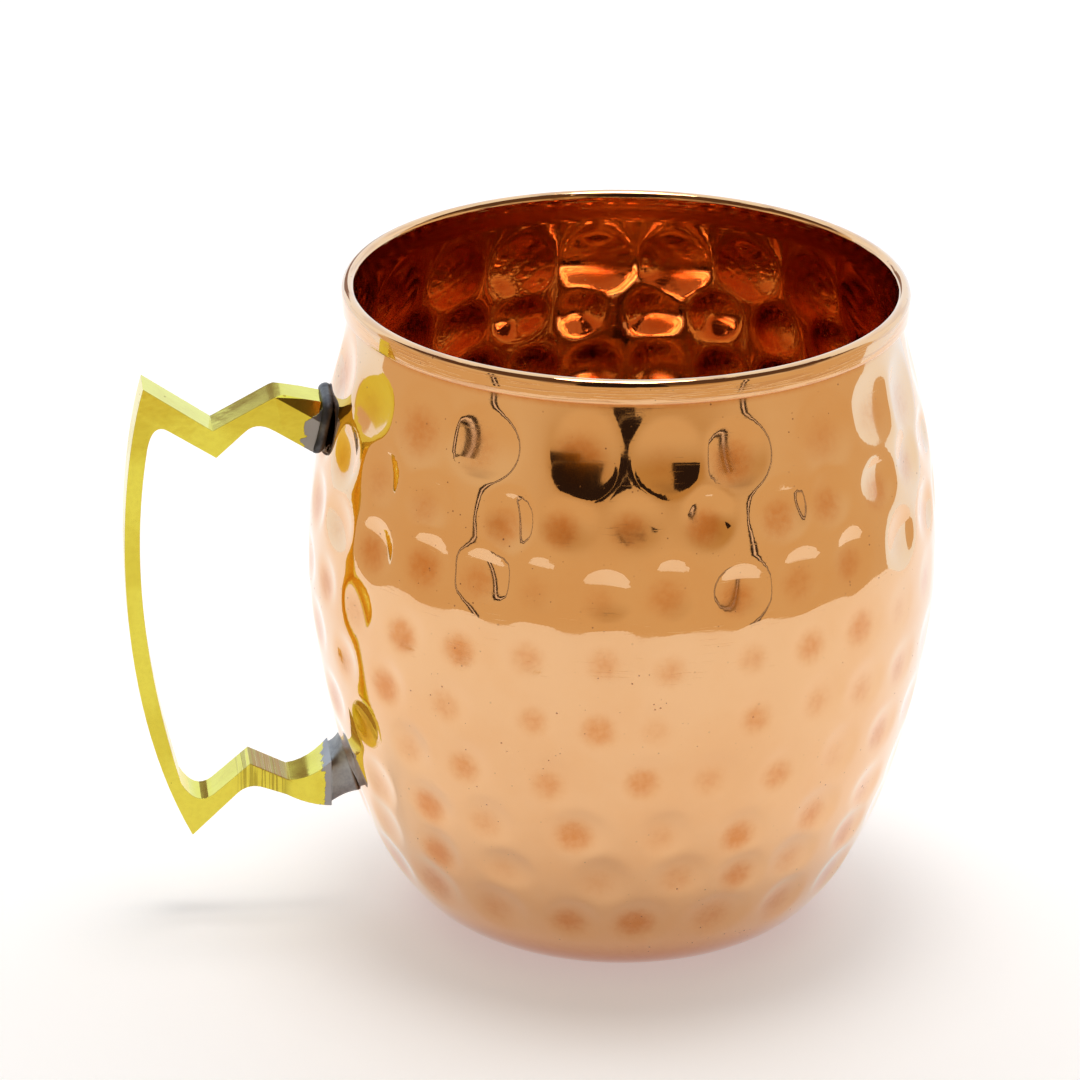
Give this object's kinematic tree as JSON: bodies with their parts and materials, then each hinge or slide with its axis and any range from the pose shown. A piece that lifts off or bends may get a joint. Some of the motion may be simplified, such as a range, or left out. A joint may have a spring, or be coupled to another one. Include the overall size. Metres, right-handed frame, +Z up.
{
  "type": "copper mug",
  "caption": "Barrel-shaped hammered copper mug with a rolled rim and a flat cast brass strap handle soldered on by two zigzag arms.",
  "frame": {"origin": "centre of the flat base, on the mug's axis", "axes": "+Z up along the mug's axis, -X out through the middle of the handle, +Y across the handle"},
  "size_m": [0.1189, 0.092, 0.097],
  "materials": {
    "hammered_copper": "polished hammered copper with light tarnish",
    "cast_brass": "polished cast yellow brass with file marks",
    "solder": "dull dark grey soft solder"
  },
  "bodies": {
    "root": {"mug_body": "hammered_copper", "handle": "cast_brass", "upper_solder": "solder", "lower_solder": "solder"}
  },
  "joints": []
}
